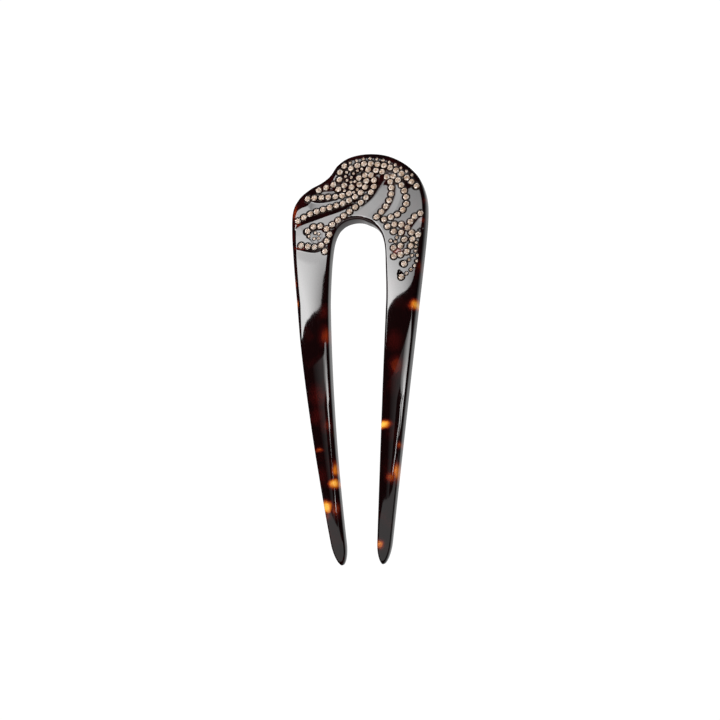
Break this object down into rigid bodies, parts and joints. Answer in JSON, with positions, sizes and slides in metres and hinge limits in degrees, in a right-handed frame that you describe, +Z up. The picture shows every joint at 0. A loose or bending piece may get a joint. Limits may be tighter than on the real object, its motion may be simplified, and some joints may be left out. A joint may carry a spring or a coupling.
{
  "type": "french hair pin",
  "caption": "U-shaped hair pin with two long tapered legs and a lopsided carved crown set with rows of small cut crystals.",
  "frame": {"origin": "under the middle of the pin's box, on the surface that it lies on", "axes": "+Y along the pin from the legs' ends towards the crown, +Z up out of the decorated face, +X to the right as one looks at that face with the crown at the top"},
  "size_m": [0.0412, 0.1234, 0.0105],
  "materials": {
    "tortoiseshell": "polished cellulose acetate, nearly black brown with amber and red-brown patches",
    "crystal": "cut and polished, pale champagne with a silvered back"
  },
  "bodies": {
    "root": {"pin_body": "tortoiseshell", "rim_crystals": "crystal", "upper_plume_crystals": "crystal", "middle_plume_crystals": "crystal", "lower_plume_crystals": "crystal", "left_curl_crystals": "crystal", "centre_crystals": "crystal", "right_plume_crystals": "crystal", "outer_plume_crystals": "crystal", "hook_crystals": "crystal", "leg_crystals": "crystal", "small_rim_crystals": "crystal", "small_crystals": "crystal"}
  },
  "joints": []
}
